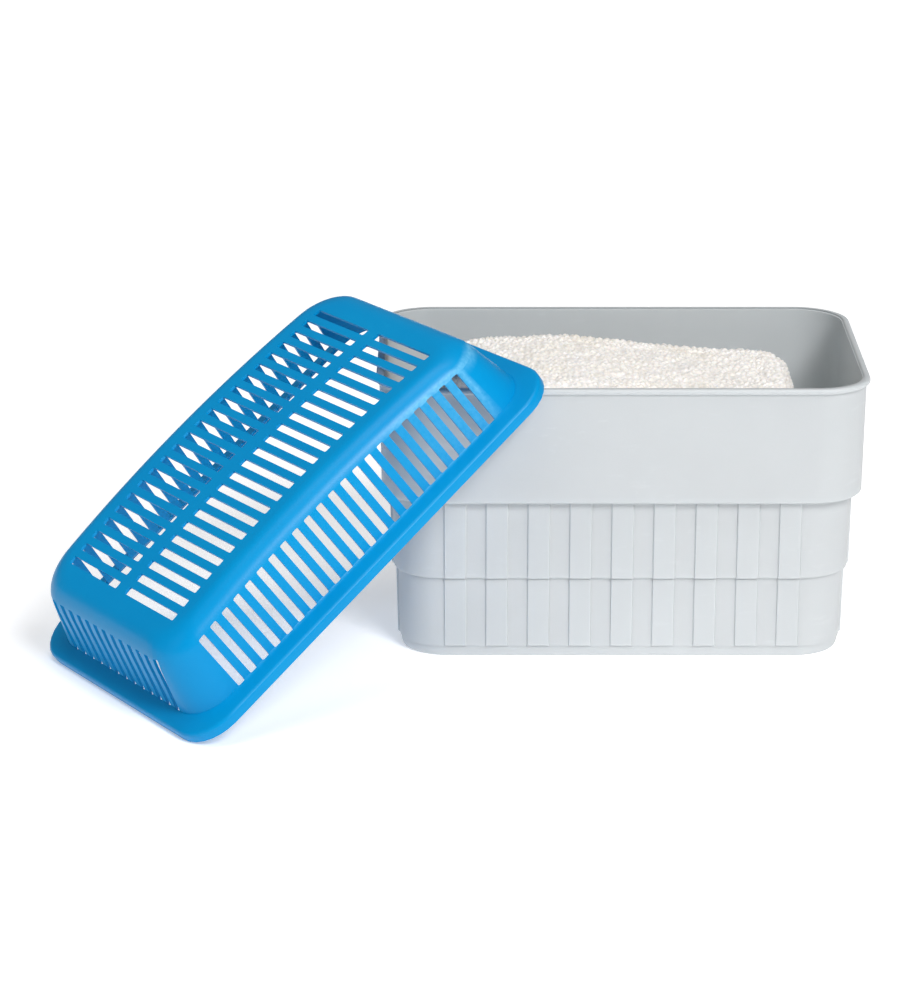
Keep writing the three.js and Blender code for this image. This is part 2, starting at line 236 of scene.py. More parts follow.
def step_outside(below, tier):
    """The underside of a tier: a small hollow where it meets the wall below, and its own rounded edge."""
    foot = tier["inset"] + TIER_DRAFT
    hollow = turn(below["inset"] - STEP_HOLLOW, tier["foot"] - STEP_HOLLOW, STEP_HOLLOW, 180, 90, 4,
                  below["corner"])
    edge = turn(foot + STEP_ROUND, tier["foot"] + STEP_ROUND, STEP_ROUND, -90, 0, 6, tier["corner"])
    return np.concatenate([hollow[1:], edge[:-1]])


tub_foot_inset = LOWER["inset"] + TIER_DRAFT
bead_bottom = TUB_HEIGHT - BEAD_DEPTH
outside = np.concatenate([
    foot(tub_foot_inset + FOOT_LINE, 0, LOWER["corner"]),
    level((tub_foot_inset + 0.05, FOOT_HEIGHT + 0.1, LOWER["corner"])),
    tier_outside(LOWER, FOOT_HEIGHT + 0.7, MIDDLE["foot"]),
    step_outside(LOWER, MIDDLE),
    tier_outside(MIDDLE, MIDDLE["foot"] + STEP_ROUND, UPPER["foot"]),
    step_outside(MIDDLE, UPPER),
    tier_outside(UPPER, UPPER["foot"] + STEP_ROUND, bead_bottom),
    turn(UPPER["inset"] - 0.4, bead_bottom - 0.4, 0.4, 180, 90, 3, UPPER["corner"])[1:],
    turn(BEAD_ROUND, bead_bottom + BEAD_ROUND, BEAD_ROUND, -80, 0, 5, UPPER["corner"]),
    turn(BEAD_ROUND, TUB_HEIGHT - BEAD_ROUND, BEAD_ROUND, 15, 90, 5, UPPER["corner"]),
])


def inner(tier, inset, height):
    """A row of the inner face, one wall's thickness inside the outer one."""
    return (inset + TUB_WALL, height, tier["corner"] - TUB_WALL)


upper_shelf, lower_shelf = UPPER["foot"] + TUB_WALL, MIDDLE["foot"] + TUB_WALL
upper_top = (RIM_LAND, TUB_HEIGHT - RIM_EASE, UPPER["corner"] - TUB_WALL)
upper_foot = inner(UPPER, UPPER["inset"] + TIER_DRAFT, upper_shelf + STEP_ROUND)
inside = np.concatenate([
    turn(RIM_LAND - RIM_EASE, TUB_HEIGHT - RIM_EASE, -RIM_EASE, 270, 195, 4, UPPER["corner"] - TUB_WALL),
    level(upper_top), straight(upper_top, upper_foot, 4), level(upper_foot),
    level(inner(UPPER, UPPER["inset"] + TIER_DRAFT + 0.5, upper_shelf + 0.5)),
    level(inner(UPPER, UPPER["inset"] + TIER_DRAFT + STEP_ROUND, upper_shelf)),
    level(inner(MIDDLE, MIDDLE["inset"] - 0.5, upper_shelf)),
    level(inner(MIDDLE, MIDDLE["inset"], upper_shelf - 0.5)),
    level(inner(MIDDLE, MIDDLE["inset"] + TIER_DRAFT, lower_shelf + 0.5)),
    level(inner(MIDDLE, MIDDLE["inset"] + TIER_DRAFT + 0.5, lower_shelf)),
    level(inner(LOWER, LOWER["inset"] - 0.3, lower_shelf)),
    level(inner(LOWER, LOWER["inset"], lower_shelf - 0.5)),
    foot(tub_foot_inset + TUB_WALL, TUB_FLOOR, LOWER["corner"] - TUB_WALL)[::-1],
])
section = np.concatenate([outside, inside])
print("rows of the tub's section:", len(outside), "outside and", len(inside), "inside")

# %% [markdown]
# ## Bands on the tub
# The bands stiffen the thin wall. They could be separate boxes laid on it, but a moulding has no seam there.
# The wall itself is pushed out between each band's two edges, over the height of a tier. The columns at a
# band's edges come in pairs, one at its foot and one at its top, and the flank lies between them.

# %% Push the bands out
def band_lines(count):
    """Half list of the column distances for a row of bands: foot and top of each band's two flanks."""
    centres = np.arange(count // 2 + 1) * BAND_PITCH
    edges = np.array([-BAND_HALF - BAND_FLANK, -BAND_HALF, BAND_HALF, BAND_HALF + BAND_FLANK])
    lines = (centres[:, None] + edges).ravel()
    return lines[lines > 0]


tub_loop = Loop(band_lines(9), band_lines(5), 9)
ring_side = TUB_HALF[0] - section[:, :1] - section[:, 2:]
ring_end = TUB_HALF[1] - section[:, :1] - section[:, 2:]
x, y = tub_loop.points(ring_side, ring_end, section[:, 2:])
z = np.broadcast_to(section[:, 1:2], x.shape)
off_band = np.abs((tub_loop.value + BAND_PITCH / 2) % BAND_PITCH - BAND_PITCH / 2)
on_band = (off_band < BAND_HALF + 0.01) & (tub_loop.kind < 2)
tier_rows = np.zeros(len(section), bool)
for tier, start, top in (
    (LOWER, FOOT_HEIGHT + 0.5, MIDDLE["foot"]),
    (MIDDLE, MIDDLE["foot"] - 0.01, UPPER["foot"]),
):
    reach = (section[:, 1] > start) & (section[:, 1] < top - 0.05) & (section[:, 0] > tier["inset"] - 0.05)
    tier_rows |= reach & (section[:, 0] < tier["inset"] + TIER_DRAFT + STEP_ROUND + 0.05)
tier_rows[len(outside):] = False
push = BAND_PROUD * np.outer(tier_rows, on_band)
x = x + push * tub_loop.sign_x * (tub_loop.kind == 1)
y = y + push * tub_loop.sign_y * (tub_loop.kind == 0)
wall = np.stack([x, y, z], axis=-1)
print("rows that carry bands:", int(tier_rows.sum()), "columns on bands:", int(on_band.sum()))

# %% Close the tub's base and floor
def closed_by(loop, ring, first_new):
    """A grid of points over the area inside a ring, and the numbers of its vertices: the edge of the grid
    is the ring, numbered from 0, and the rest are new, numbered from first_new."""
    grid = np.zeros((loop.nu, loop.nv, 3))
    grid[loop.i, loop.j] = ring
    grid = coons(grid)
    index = np.zeros((loop.nu, loop.nv), int)
    index[1:-1, 1:-1] = first_new + np.arange((loop.nu - 2) * (loop.nv - 2)).reshape(loop.nu - 2, -1)
    index[loop.i, loop.j] = np.arange(loop.count)
    return grid, index


rows, count = wall.shape[:2]
base, base_index = closed_by(tub_loop, wall[0], rows * count)
inner_new = rows * count + base[1:-1, 1:-1].shape[0] * base[1:-1, 1:-1].shape[1]
floor_grid, floor_index = closed_by(tub_loop, wall[-1], inner_new)
floor_index[tub_loop.i, tub_loop.j] += (rows - 1) * count
surfaces = (wall, base[1:-1, 1:-1], floor_grid[1:-1, 1:-1])
tub_points = np.concatenate([part.reshape(-1, 3) for part in surfaces])
tub_points[:, :2] += (tub_low + tub_high)[:2] / 2
tub_faces = np.concatenate([
    wall_faces(rows, count).reshape(-1, 4),
    grid_faces(base_index)[..., ::-1].reshape(-1, 4),
    grid_faces(floor_index).reshape(-1, 4),
])
whey_tub = new_piece("whey_tub", tub_points, tub_faces)


def soften(piece, width, degrees, segments=2):
    """Rounds a piece's sharp edges with a narrow bevel that leaves its flat faces flat."""
    bevel = piece.modifiers.new("eased_edges", "BEVEL")
    bevel.width = width * MM
    bevel.segments = segments
    bevel.limit_method = "ANGLE"
    bevel.angle_limit = math.radians(degrees)
    bevel.harden_normals = True
    bevel.use_clamp_overlap = True


soften(whey_tub, 0.18, 38)

# %% [markdown]
# ## The draining basket
# The basket is a shallow tray with a stepped lip and rows of slots in its floor and all four walls. The slots
# could be cut with a boolean, but that leaves long thin faces that shade badly on the rounded edges. Here the
# grid's own lines run along the slots' edges, and the cells inside a slot are simply left out. The floor is
# slightly crowned along its length, as thin mouldings are, and the wall leans in by ten degrees.

# %% The basket's sizes
LIP_HALF = np.array([137.9, 91.7])
DEPTH, SKIN = 54.3, 1.6
LIP_CORNER, WALL_CORNER = 22.9, 22.0
LIP_HEIGHT, LIP_FOLD = 7.2, 2.0
LEDGE_WIDTH, LEDGE_FALL, LEDGE_LEAN, DRAFT = 9.9, 1.0, 8, math.radians(10)
FILLET, CROWN, CROWN_HALF = 13.0, 6.8, 114.5
PITCH, SLOT_HALF, SLOT_ROUND, SLOT_FOOT = 9.3, 2.3, 0.9, 0.8
SIDE_SLOTS, END_SLOTS = 22, 13
FLOOR_SLOT = (4.7, 56.4)
SIDE_SLOT_TOP, END_SLOT_TOP = 8.3, 7.3
ledge_top = LIP_HEIGHT - DEPTH
foot_height, foot_inset = ledge_top + SLOT_FOOT, LEDGE_WIDTH + SLOT_FOOT * math.tan(DRAFT)
tangent = (-FILLET * (1 - math.sin(DRAFT)) - foot_height) / math.cos(DRAFT)
wall_length = tangent + FILLET * (math.pi / 2 - DRAFT)
print(f"wall from slot foot to floor: {wall_length:.1f} mm along the surface, fillet from {tangent:.1f}")

# %% The wall's section and the crown
def crown(x):
    """Height of the bowed floor at x along the basket: nothing in the middle, falling as x squared."""
    return -CROWN * (x / CROWN_HALF) ** 2


def basket_wall(climb):
    """Inset and height after climbing that far up the wall from the slots' feet: up the leaning face,
    then round the fillet, whose angle grows by the climb over its radius."""
    flat = np.minimum(climb, tangent)
    angle = DRAFT + np.maximum(climb - tangent, 0) / FILLET
    inset = foot_inset + flat * math.sin(DRAFT) + FILLET * (math.cos(DRAFT) - np.cos(angle))
    height = foot_height + flat * math.cos(DRAFT) + FILLET * (np.sin(angle) - math.sin(DRAFT))
    return inset, height


def climb_to(depth):
    """The climb that reaches a depth below the floor, on the fillet."""
    return tangent + FILLET * (math.asin(1 - depth / FILLET) - DRAFT)


side_top, end_top = climb_to(SIDE_SLOT_TOP), climb_to(END_SLOT_TOP)
print(f"slots climb to {side_top:.1f} mm on the sides and {end_top:.1f} mm on the ends")

# %% Lines through the slots' edges
edge_steps = np.array([SLOT_HALF, SLOT_HALF - SLOT_ROUND / 2, SLOT_HALF - SLOT_ROUND])
slot_edges = np.concatenate([-edge_steps, edge_steps[::-1]])


def slot_lines(count):
    """Half list of line distances for a balanced row of slots, three lines for each rounded edge."""
    centres = (np.arange(count) - (count - 1) / 2) * PITCH
    lines = (centres[:, None] + slot_edges).ravel()
    return lines[lines > 0]


along_lines = slot_lines(SIDE_SLOTS)
end_lines = np.sort(np.append(slot_lines(END_SLOTS), PITCH / 2))
basket_loop = Loop(along_lines, end_lines, 6)
floor_lines = end_lines.copy()
near, far = FLOOR_SLOT
first = int(np.argmin(np.abs(end_lines - PITCH / 2)))
floor_lines[first:first + 3] = near + SLOT_ROUND * np.array([0, 0.5, 1])
floor_lines[-4:-1] = far - np.array([SLOT_ROUND, SLOT_ROUND / 2, 0])
floor_lines[-1] = far + 0.9
print("lines along", len(along_lines) * 2, "and across", len(end_lines) * 2)


def rounded_slot(a, b, half_a, half_b):
    """Draws the square corners of a slot in onto arcs. Within a corner square, the larger of the two
    distances becomes the radius and the smaller sets the angle, up to 45 degrees."""
    ea, eb = np.abs(a) - (half_a - SLOT_ROUND), np.abs(b) - (half_b - SLOT_ROUND)
    corner = (ea > 0) & (eb > 0) & (ea <= SLOT_ROUND + 0.01) & (eb <= SLOT_ROUND + 0.01)
    major, minor = np.maximum(ea, eb), np.minimum(ea, eb)
    angle = np.pi / 4 * np.divide(minor, major, out=np.zeros_like(major), where=corner)
    long, short = major * np.cos(angle), major * np.sin(angle)
    new_a = np.sign(a) * (half_a - SLOT_ROUND + np.where(ea >= eb, long, short))
    new_b = np.sign(b) * (half_b - SLOT_ROUND + np.where(ea >= eb, short, long))
    return np.where(corner, new_a, a), np.where(corner, new_b, b)


def from_slot(value, odd):
    """Signed distance to the nearest slot's centre line, for a row with an odd or an even count."""
    shift = PITCH / 2 if odd else 0
    return (value + shift) % PITCH - PITCH / 2


# %% Rows up the wall
top_rows = SLOT_ROUND * np.array([1, 0.5, 0])
side_rows = np.concatenate([
    top_rows[::-1], np.linspace(8, side_top - 7, 4), side_top - top_rows,
    np.linspace(side_top, wall_length, 9)[1:],
])
end_rows = np.concatenate([
    top_rows[::-1], np.linspace(8, end_top - 7, 4), end_top - top_rows,
    np.linspace(end_top, wall_length, 9)[1:],
])
SLOT_ROWS = 9                    # the gaps between rows that a slot spans
none = np.zeros(basket_loop.count)
share = np.choose(basket_loop.kind, [none, none + 1, basket_loop.value])
climb = side_rows[:, None] * (1 - share) + end_rows[:, None] * share
slot_top = side_top * (1 - share) + end_top * share
value = np.broadcast_to(basket_loop.value, climb.shape)
off = np.where(basket_loop.kind == 0, from_slot(value, False), from_slot(value, True))
middle = np.broadcast_to(slot_top / 2, climb.shape)
new_off, new_climb = rounded_slot(off, climb - middle, SLOT_HALF, slot_top / 2)
on_flat = basket_loop.kind < 2
value = np.where(on_flat, value + new_off - off, value)
climb = np.where(on_flat, middle + new_climb, climb)
inset, height = basket_wall(climb)
room = 2.4 * smooth((climb - slot_top) / (wall_length - slot_top))
side, end = LIP_HALF[0] - inset - WALL_CORNER, LIP_HALF[1] - inset - WALL_CORNER
wall_x, wall_y = basket_loop.points(side, end, WALL_CORNER, value, room)
print("rows up the wall:", len(side_rows))

# %% The lip and the ledge
def lip_rows():
    """The turned-down lip, its fold, the gently sloping ledge and the crease where the wall starts."""
    drop = level((0, -DEPTH, LIP_CORNER), (0, -DEPTH + 2.4, LIP_CORNER))
    outer = ledge_top - LEDGE_FALL
    fold = turn(LIP_FOLD, outer - LIP_FOLD, LIP_FOLD, 0, 90 - LEDGE_LEAN, 6, LIP_CORNER)
    ledge = level((5.5, outer + 0.45 * LEDGE_FALL, 22.5), (LEDGE_WIDTH - 2.0, ledge_top - 0.1, WALL_CORNER))
    crease = level((LEDGE_WIDTH - 1.1, ledge_top + 0.1, WALL_CORNER),
                   (LEDGE_WIDTH - 0.3, ledge_top + 0.4, WALL_CORNER))
    return np.concatenate([drop, fold, ledge, crease])


lip = lip_rows()
lip_inset, lip_corner = lip[:, :1], lip[:, 2:]
lip_side, lip_end = (half - lip_inset - lip_corner for half in LIP_HALF)
lip_x, lip_y = basket_loop.points(lip_side, lip_end, lip_corner)
lip_z = np.broadcast_to(lip[:, 1:2], lip_x.shape)
bow = np.clip((height - (ledge_top - SKIN)) / (-8.5 - (ledge_top - SKIN)), 0, 1)
wall_z = height + bow * crown(wall_x)
pairs = (lip_x, wall_x), (lip_y, wall_y), (lip_z, wall_z)
shell = np.stack([np.concatenate(pair) for pair in pairs], axis=-1)
print("rows of the basket's section:", len(shell))

# %% The floor's grid
nu, nv = basket_loop.nu, basket_loop.nv
floor_xy = np.zeros((nu, nv, 2))
floor_xy[basket_loop.i, basket_loop.j] = shell[-1, :, :2]
lines_u = np.concatenate([-along_lines[::-1], along_lines])
lines_v = np.concatenate([-floor_lines[:-1][::-1], floor_lines[:-1]])
iu = (nu - len(lines_u)) // 2
iv = (nv - len(lines_v)) // 2
grid_u, grid_v = np.meshgrid(lines_u, lines_v, indexing="ij")
slot_middle, slot_half = (near + far) / 2, (far - near) / 2
off_u = from_slot(grid_u, False)
off_v = np.abs(grid_v) - slot_middle
new_u, new_v = rounded_slot(off_u, off_v, SLOT_HALF, slot_half)
floor_xy[iu:-iu, iv:-iv, 0] = grid_u + new_u - off_u
floor_xy[iu:-iu, iv:-iv, 1] = np.sign(grid_v) * (slot_middle + new_v)


def bridge(grid, first, last, axis):
    """Fills the lines between two filled lines of a grid with straight steps from one to the other."""
    grid = np.moveaxis(grid, axis, 0)
    share = np.linspace(0, 1, last - first + 1)[:, None, None]
    grid[first:last + 1] = (1 - share) * grid[first] + share * grid[last]


bridge(floor_xy[iu:-iu], 0, iv, 1)
bridge(floor_xy[iu:-iu], nv - 1 - iv, nv - 1, 1)
bridge(floor_xy[:, iv:-iv], 0, iu, 0)
bridge(floor_xy[:, iv:-iv], nu - 1 - iu, nu - 1, 0)
for block_u in (slice(0, iu + 1), slice(nu - 1 - iu, nu)):
    for block_v in (slice(0, iv + 1), slice(nv - 1 - iv, nv)):
        floor_xy[block_u, block_v] = coons(floor_xy[block_u, block_v])
floor_points = np.concatenate([floor_xy, crown(floor_xy[..., :1])], axis=-1)
print("floor grid:", floor_points.shape)

# %% Leave the slots open and join wall and floor
first_new = shell.shape[0] * shell.shape[1]
index = np.zeros((nu, nv), int)
index[1:-1, 1:-1] = first_new + np.arange((nu - 2) * (nv - 2)).reshape(nu - 2, nv - 2)
index[basket_loop.i, basket_loop.j] = first_new - basket_loop.count + np.arange(basket_loop.count)


def between(lines):
    """Middles of the gaps between neighbouring lines."""
    return (lines[1:] + lines[:-1]) / 2


open_u = np.zeros(nu - 1, bool)
open_u[iu:-iu] = np.abs(from_slot(between(lines_u), False)) < SLOT_HALF
open_v = np.zeros(nv - 1, bool)
open_v[iv:-iv] = (np.abs(between(lines_v)) > near) & (np.abs(between(lines_v)) < far)
floor_quads = grid_faces(index)[~np.outer(open_u, open_v)]

kind, number = basket_loop.kind, basket_loop.value * basket_loop.sign_x
number = np.where(kind == 1, basket_loop.value * basket_loop.sign_y, number)
follows = np.roll(number, -1)
same = (kind < 2) & (kind == np.roll(kind, -1))
mid = (number + follows) / 2
odd = kind == 1
open_column = same & (np.abs(np.where(odd, from_slot(mid, True), from_slot(mid, False))) < SLOT_HALF)
open_row = np.zeros(len(shell) - 1, bool)
open_row[len(lip):len(lip) + SLOT_ROWS] = True
wall_quads = wall_faces(len(shell), basket_loop.count)[~np.outer(open_row, open_column)]
basket_points = np.concatenate([shell.reshape(-1, 3), floor_points[1:-1, 1:-1].reshape(-1, 3)])
used, renumber = np.unique(np.concatenate([wall_quads, floor_quads]), return_inverse=True)
basket_points, basket_faces = basket_points[used], renumber.reshape(-1, 4)
print("open floor cells:", int(np.outer(open_u, open_v).sum()))
print("open columns of the wall:", int(open_column.sum()))

# %% [markdown]
# ## How the basket leans
# The basket rests on the lower edge of its low end and on the tub's rim. Its turn and tilt are the two angles
# that the model was packed with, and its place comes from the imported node's own box, so the piece that is
# seen lies exactly over the piece that collides.

# %% Turn, tilt and place the basket
BASKET_TURN, BASKET_TILT = 33.9, 36.266
local = basket_points.copy()
turned = Euler((0, -math.radians(BASKET_TILT), math.radians(BASKET_TURN)), "XYZ").to_matrix()
basket_points = basket_points @ np.array(turned).T
basket_low, basket_high = (np.array(corner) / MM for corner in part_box("draining_basket"))
shift = (basket_low + basket_high) / 2 - (basket_points.min(0) + basket_points.max(0)) / 2
basket_points += shift
low_gap, high_gap = basket_points.min(0) - basket_low, basket_points.max(0) - basket_high
print("box differs by", np.round(low_gap, 2), np.round(high_gap, 2))
blue_basket = new_piece("blue_draining_basket", basket_points, basket_faces)


# The pale frame round the near wall's last slots is a painted highlight; these are its depths and its ends
# along the basket, in millimetres.
HIGHLIGHT_TOP, HIGHLIGHT_BOTTOM = 5.6, 8.4
HIGHLIGHT_START, HIGHLIGHT_END = 99.4, 102.6


def painted_highlight(place):
    """Where a pale highlight is painted on the near wall: 0.7 on a frame a few millimetres wide round the
    last slots towards the high end, and 0.3 on the bars inside the frame."""
    u, v, w = place.T
    depth = crown(u) - w
    top = smooth(depth - HIGHLIGHT_TOP) * (1 - smooth((depth - HIGHLIGHT_BOTTOM) / 0.8)) * smooth((u - 25) / 50)
    end = smooth(u - HIGHLIGHT_START) * (1 - smooth((u - HIGHLIGHT_END) / 1.2)) * smooth(depth - HIGHLIGHT_TOP)
    bars = smooth((u - 25) / 75) * (1 - smooth((u - 103.0) / 1.5)) * smooth((depth - 6) / 2)
    near_wall = (w > ledge_top + 0.6) & (v < -60)
    return np.maximum(0.7 * np.maximum(top, end), 0.3 * bars) * near_wall


# The painted highlight's share at each point is stored on the basket.
highlight_paint = blue_basket.data.attributes.new("painted_highlight", "FLOAT", "POINT")
highlight_paint.data.foreach_set("value", painted_highlight(local).astype(np.float32))
thickness = blue_basket.modifiers.new("wall_thickness", "SOLIDIFY")
thickness.thickness = SKIN * MM
thickness.offset = -1
thickness.use_even_offset = True
soften(blue_basket, 0.22, 50)

# %% [markdown]
# ## The curd
# Fresh curd is a loaf of small soft grains pressed together, with a rounded edge and an uneven top. A smooth
# block with a bump texture would look like soap at its outline, so the grains are real here. Every point of
# a fine grid finds the nearest of many scattered seeds, and each grain swells round its seed.

# %% Noise for the grains
def scatter(cell, salt):
    """A number from 0 to 1 for each whole-numbered cell: the fractional part of a large sine."""
    mixed = cell @ np.array([127.1, 311.7, 74.7]) + salt * 57.3
    return np.modf(np.abs(np.sin(mixed)) * 43758.5453)[0]


def grains(points, pitch, salt=0):
    """Height of a packed grain at each point, from 0 in the gaps to 1 on top. Each cell of a cubic grid
    holds one seed at a scattered place; the height is 1 less the squared share of the nearest distance
    over the next nearest."""
    cell = np.floor(points / pitch)
    near_1 = np.full(len(points), 9.0)
    near_2 = np.full(len(points), 9.0)
    steps = np.stack(np.meshgrid(*[[-1, 0, 1]] * 3, indexing="ij"), -1).reshape(-1, 3)
    for step in steps:
        home = cell + step
        seed = home + 0.5 + 0.8 * (np.stack([scatter(home, salt + k) for k in (1, 2, 3)], -1) - 0.5)
        distance = np.linalg.norm(points / pitch - seed, axis=1)
        near_2 = np.minimum(near_2, np.maximum(near_1, distance))
        near_1 = np.minimum(near_1, distance)
    return 1 - (near_1 / near_2) ** 2


def swell(points, pitch, salt):
    """Smooth noise from -1 to 1: scattered values at the corners of a cubic grid, blended between them."""
    cell = np.floor(points / pitch)
    share = smooth(points / pitch - cell)
    total = np.zeros(len(points))
    for step in np.stack(np.meshgrid([0, 1], [0, 1], [0, 1], indexing="ij"), -1).reshape(-1, 3):
        weight = np.prod(np.where(step, share, 1 - share), axis=1)
        total += weight * (2 * scatter(cell + step, salt) - 1)
    return total


print("grain height at three points:", grains(np.array([[0, 0, 0], [1, 1, 1], [2.5, 0.4, 7]]), 2.8).round(2))

# %% Shape the loaf
curd_low, curd_high = (np.array(corner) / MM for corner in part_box("curd_block"))
CURD_HALF = (curd_high - curd_low)[:2] / 2
CURD_CORNER, CURD_ROUND = 26.0, 13.0
GRAIN, GRAIN_STEP, GRAIN_HEIGHT = 3.3, 0.75, 1.9
LUMP, LUMP_HEIGHT = 9, 0.8
WAVE, WAVE_HEIGHT = 34, 1.2
curd_top = curd_high[2]
fine = np.arange(GRAIN_STEP / 2, CURD_HALF[0] - CURD_CORNER, GRAIN_STEP)
fine_across = np.arange(GRAIN_STEP / 2, CURD_HALF[1] - CURD_CORNER, GRAIN_STEP)
curd_loop = Loop(fine, fine_across, 26)
curd_section = np.concatenate([
    turn(4, curd_low[2] + 4, 4, -90, 0, 4, CURD_CORNER),
    straight((0, curd_low[2] + 4, CURD_CORNER), (0, curd_top - 35, CURD_CORNER), 8),
    straight((0, curd_top - 35, CURD_CORNER), (0, curd_top - CURD_ROUND, CURD_CORNER), 16),
    turn(CURD_ROUND, curd_top - CURD_ROUND, CURD_ROUND, 0, 90, 24, CURD_CORNER),
])
curd_corner = np.maximum(curd_section[:, 2:] - 0.6 * curd_section[:, :1], 8)
curd_side = CURD_HALF[0] - curd_section[:, :1] - curd_corner
curd_end = CURD_HALF[1] - curd_section[:, :1] - curd_corner
x, y = curd_loop.points(curd_side, curd_end, curd_corner)
loaf_wall = np.stack([x, y, np.broadcast_to(curd_section[:, 1:2], x.shape)], axis=-1)
rows, count = loaf_wall.shape[:2]
loaf_top, top_index = closed_by(curd_loop, loaf_wall[-1], rows * count)
top_index[curd_loop.i, curd_loop.j] += (rows - 1) * count
loaf = np.concatenate([part.reshape(-1, 3) for part in (loaf_wall, loaf_top[1:-1, 1:-1])])
loaf_faces = np.concatenate([wall_faces(rows, count).reshape(-1, 4), grid_faces(top_index).reshape(-1, 4)])
print("loaf:", len(loaf), "points")

# %% Press the grains into it
middle = np.array([0, 0, curd_top - 55])
half = np.array([CURD_HALF[0], CURD_HALF[1], 55])
outward = ((loaf - middle) / half) ** 5 / half
outward /= np.linalg.norm(outward, axis=1, keepdims=True)
high_up = smooth((loaf[:, 2] - 40) / 60)
sag = 1.4 * smooth((loaf[:, 0] + 150) / 60) - 7.6 * smooth((loaf[:, 0] + 35) / 115)
pressed = GRAIN_HEIGHT * (grains(loaf, GRAIN) - 0.7)
push = pressed + LUMP_HEIGHT * swell(loaf, LUMP, 5) + WAVE_HEIGHT * swell(loaf, WAVE, 9)
loaf = loaf + outward * (push * high_up)[:, None]
loaf[:, 2] += sag * smooth((loaf[:, 2] - curd_top + 45) / 45)
loaf[:, :2] += (curd_low + curd_high)[:2] / 2
curd_loaf = new_piece("curd_loaf", loaf, loaf_faces, np.arange(count))
print("loaf from", loaf.min(0).round(1), "to", loaf.max(0).round(1))

# %% [markdown]
# ## Shared effects
# Moulded plastic is never one even colour: the pigment clouds a little, the skin has a fine orange-peel
# grain, and handling leaves faint scuffs. Each could be drawn anew in every material, but a node group built
# once and placed with its own values keeps the two plastics alike.

# %% Build the node groups
def group(name, inputs, outputs):
    """An empty shader group with named float or vector inputs and float outputs."""
    tree = bpy.data.node_groups.new(name, "ShaderNodeTree")
    for label, socket_type, default in inputs:
        socket = tree.interface.new_socket(name=label, in_out="INPUT", socket_type=socket_type)
        if default is not None:
            socket.default_value = default
    for label in outputs:
        tree.interface.new_socket(name=label, in_out="OUTPUT", socket_type="NodeSocketFloat")
    return tree, tree.nodes.new("NodeGroupInput"), tree.nodes.new("NodeGroupOutput")


def node(tree, kind, **settings):
    """Adds a node and sets its properties, and its inputs where the name is one of theirs."""
    made = tree.nodes.new(kind)
    for key, setting in settings.items():
        if key in made.inputs:
            made.inputs[key].default_value = setting
        else:
            setattr(made, key, setting)
    return made


def rescale(tree, source, low, high, to_low=0.0, to_high=1.0):
    """Maps the range low..high of a socket to to_low..to_high, held at both ends."""
    ramp = node(tree, "ShaderNodeMapRange", clamp=True)
    for key, number in zip(("From Min", "From Max", "To Min", "To Max"), (low, high, to_low, to_high)):
        ramp.inputs[key].default_value = number
    tree.links.new(source, ramp.inputs["Value"])
    return ramp.outputs["Result"]


def build_clouds():
    """Soft clouds: two sizes of noise added, so that neither repeats."""
    tree, given, out = group("pigment_clouds", [("Vector", "NodeSocketVector", None),
                                                ("Scale", "NodeSocketFloat", 12.0)], ["Clouds"])
    noise = node(tree, "ShaderNodeTexNoise", Detail=4.0, Roughness=0.55)
    tree.links.new(given.outputs["Vector"], noise.inputs["Vector"])
    tree.links.new(given.outputs["Scale"], noise.inputs["Scale"])
    tree.links.new(rescale(tree, noise.outputs["Fac"], 0.3, 0.7), out.inputs["Clouds"])
    return tree


def build_skin():
    """Orange-peel height of a moulded skin: fine noise with a finer one over it."""
    tree, given, out = group("moulded_skin", [("Vector", "NodeSocketVector", None),
                                              ("Scale", "NodeSocketFloat", 900.0)], ["Height"])
    coarse = node(tree, "ShaderNodeTexNoise", Detail=2.0, Roughness=0.5)
    tree.links.new(given.outputs["Vector"], coarse.inputs["Vector"])
    tree.links.new(given.outputs["Scale"], coarse.inputs["Scale"])
    tree.links.new(coarse.outputs["Fac"], out.inputs["Height"])
    return tree


def build_scuffs():
    """Scuffs: noise stretched into short streaks, cut to a few patches by a broad noise."""
    tree, given, out = group("handling_scuffs", [("Vector", "NodeSocketVector", None),
                                                 ("Scale", "NodeSocketFloat", 60.0),
                                                 ("Amount", "NodeSocketFloat", 0.5)], ["Scuffs"])
    stretched = node(tree, "ShaderNodeMapping", Scale=(1.0, 0.35, 4.0), Rotation=(0.5, 0.3, 0.4))
    streaks = node(tree, "ShaderNodeTexNoise", Detail=5.0, Roughness=0.65)
    patches = node(tree, "ShaderNodeTexNoise", Scale=14.0, Detail=2.0)
    both = node(tree, "ShaderNodeMath", operation="MULTIPLY")
    dose = node(tree, "ShaderNodeMath", operation="MULTIPLY")
    tree.links.new(given.outputs["Vector"], stretched.inputs["Vector"])
    tree.links.new(stretched.outputs["Vector"], streaks.inputs["Vector"])
    tree.links.new(given.outputs["Scale"], streaks.inputs["Scale"])
    tree.links.new(given.outputs["Vector"], patches.inputs["Vector"])
    tree.links.new(rescale(tree, streaks.outputs["Fac"], 0.58, 0.75), both.inputs[0])
    tree.links.new(rescale(tree, patches.outputs["Fac"], 0.45, 0.65), both.inputs[1])
    tree.links.new(both.outputs[0], dose.inputs[0])
    tree.links.new(given.outputs["Amount"], dose.inputs[1])
    tree.links.new(dose.outputs[0], out.inputs["Scuffs"])
    return tree


clouds_group, skin_group, scuffs_group = build_clouds(), build_skin(), build_scuffs()
print("groups:", [tree.name for tree in (clouds_group, skin_group, scuffs_group)])

# %% [markdown]
# ## The finishes
# The tub is a milky grey polypropylene with a satin skin, the basket a glossier blue one, and the curd is
# moist. The tub and the curd both let a little light in, which softens their shadows. Colours are given as
# they look, from 0 to 255, and turned into the light values that the shader needs.

